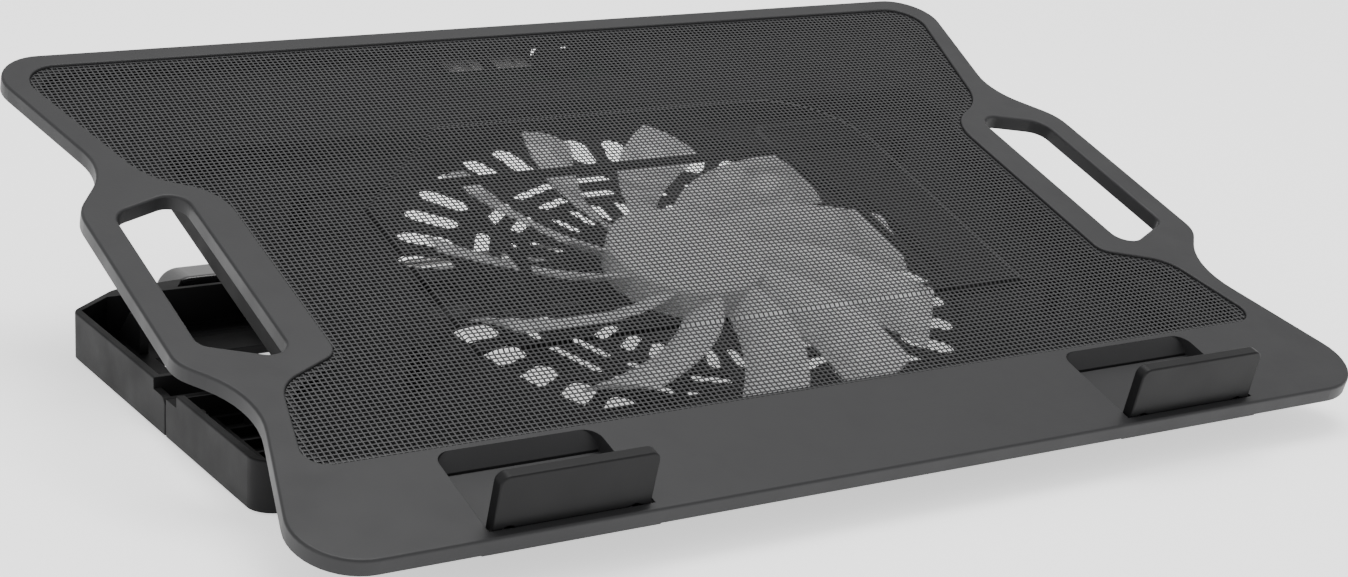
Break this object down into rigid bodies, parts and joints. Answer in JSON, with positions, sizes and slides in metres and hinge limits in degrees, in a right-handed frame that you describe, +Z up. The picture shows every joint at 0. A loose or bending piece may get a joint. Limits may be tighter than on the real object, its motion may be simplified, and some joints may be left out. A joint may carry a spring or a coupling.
{
  "type": "laptop cooling pad",
  "caption": "Tilting laptop stand: wide mesh tray with side grip holes and fold-up stop flaps over a large fan, on a low open base with a stepped prop.",
  "frame": {"origin": "centre of the footprint at table height, below the middle of the whole pad's bounding box", "axes": "+X to the right along the pad's long side, +Y towards the back, +Z up; the tray is tilted about X with its back raised"},
  "size_m": [0.376, 0.2628, 0.0937],
  "materials": {
    "frame_plastic": "fine satin texture",
    "shell_plastic": "fine matte texture",
    "bar_plastic": "gloss",
    "mesh_metal": "satin black paint",
    "moving_plastic": "satin",
    "fan_plastic": "satin",
    "steel": "plain",
    "magnet": "matte bonded ferrite",
    "sleeve_brass": "sintered",
    "core_steel": "laminated",
    "winding_copper": "enamelled copper",
    "board": "solder-resist green",
    "control_plastic": "matte",
    "lead_rubber": "matte",
    "foot_rubber": "matte"
  },
  "bodies": {
    "base": {"base_front": "shell_plastic", "base_rear": "shell_plastic", "rear_bar": "bar_plastic", "base_screws": "steel", "tilt_pin_left": "steel", "tilt_pin_right": "steel", "prop_pin_left": "steel", "prop_pin_right": "steel", "foot_front_left": "foot_rubber", "foot_front_right": "foot_rubber", "foot_rear_left": "foot_rubber", "foot_rear_right": "foot_rubber"},
    "tray": {"top_frame": "frame_plastic", "mesh_panel": "mesh_metal", "mesh_support": "shell_plastic", "bottom_housing": "shell_plastic", "bearing_sleeve": "sleeve_brass", "stator_core": "core_steel", "stator_windings": "winding_copper", "motor_board": "board", "hub_board": "board", "usb_port_left": "steel", "usb_port_right": "steel", "speed_control": "control_plastic", "fan_lead": "lead_rubber", "housing_screws": "steel", "flap_pin_left": "steel", "flap_pin_right": "steel"},
    "fan_rotor": {"fan_impeller": "fan_plastic", "rotor_yoke": "steel", "rotor_magnet": "magnet", "rotor_shaft": "steel"},
    "flap_left": {"flap_left": "moving_plastic"},
    "flap_right": {"flap_right": "moving_plastic"},
    "speed_wheel": {"speed_wheel": "moving_plastic"},
    "prop": {"prop_arm_left": "moving_plastic", "prop_arm_right": "moving_plastic", "prop_brace": "steel"}
  },
  "joints": [
    {"name": "tray_tilt", "type": "hinge", "parent": "base", "child": "tray", "pos_m": [0, -0.05301, 0.01734], "axis": [1, 0, 0], "range_deg": [-16.69, 3.4]},
    {"name": "prop_fold", "type": "hinge", "parent": "base", "child": "prop", "pos_m": [0, 0.091, 0.0068], "axis": [1, 0, 0], "range_deg": [-9, 43.5]},
    {"name": "fan_spin", "type": "hinge", "parent": "tray", "child": "fan_rotor", "pos_m": [0, -0.00376, 0.04109], "axis": [0, -0.2872, 0.9579], "continuous": true},
    {"name": "flap_left_fold", "type": "hinge", "parent": "tray", "child": "flap_left", "pos_m": [-0.11, -0.12525, 0.01557], "axis": [1, 0, 0], "range_deg": [-88, 0]},
    {"name": "flap_right_fold", "type": "hinge", "parent": "tray", "child": "flap_right", "pos_m": [0.11, -0.12525, 0.01557], "axis": [1, 0, 0], "range_deg": [-88, 0]},
    {"name": "speed_turn", "type": "hinge", "parent": "tray", "child": "speed_wheel", "pos_m": [0.02, 0.11979, 0.08168], "axis": [0, -0.2872, 0.9579], "range_deg": [0, 270]}
  ],
  "couplings": [
    {"joint": "prop_fold", "follows": "tray_tilt", "ratio": -2.6}
  ]
}
